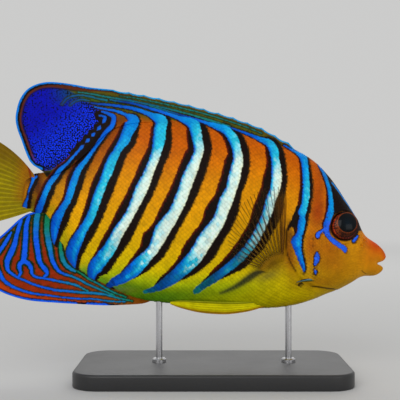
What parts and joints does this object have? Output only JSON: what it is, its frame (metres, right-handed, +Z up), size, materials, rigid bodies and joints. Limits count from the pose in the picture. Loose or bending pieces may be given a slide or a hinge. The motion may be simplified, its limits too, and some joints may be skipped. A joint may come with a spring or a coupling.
{
  "type": "regal angelfish display model on a stand",
  "caption": "Life-size still model of a regal angelfish with striped flanks and spread fins, held level over a flat base by slim steel rods.",
  "frame": {"origin": "on the floor, under the middle of the fish's length and of its breadth", "axes": "+X towards the snout, +Y towards the fish's left flank, +Z up; the right flank, on -Y, faces the camera"},
  "size_m": [0.2, 0.066, 0.1366],
  "materials": {
    "skin": "wet scaled skin, orange to yellow with black-edged pale blue bars, ochre on the face",
    "olive_fin": "olive fin skin over spines, with thin teal lines along it and a pale blue edge",
    "blue_fin": "deep blue fin skin, finely mottled with black, with a bright blue and dark edge",
    "striped_fin": "rust red fin skin with blue lines that follow its edge",
    "yellow_fin": "yellow fin skin with fine rays",
    "clear_fin": "thin, part clear yellow fin skin with dark-edged rays",
    "eye": "glossy blue-black pupil in a dark red-brown iris",
    "stand_plate": "satin black plate with a softened edge",
    "stand_steel": "brushed round steel rod"
  },
  "bodies": {
    "root": {"head": "skin", "trunk": "skin", "tail_stem": "skin", "dorsal_fin_spiny": "olive_fin", "dorsal_fin_soft": "blue_fin", "anal_fin": "striped_fin", "tail_fin": "yellow_fin", "pectoral_fin_right": "clear_fin", "pectoral_fin_left": "clear_fin", "pelvic_fin_right": "yellow_fin", "pelvic_fin_left": "yellow_fin", "eye_right": "eye", "eye_left": "eye", "stand_base": "stand_plate", "stand_rod_front": "stand_steel", "stand_rod_rear": "stand_steel"}
  },
  "joints": []
}
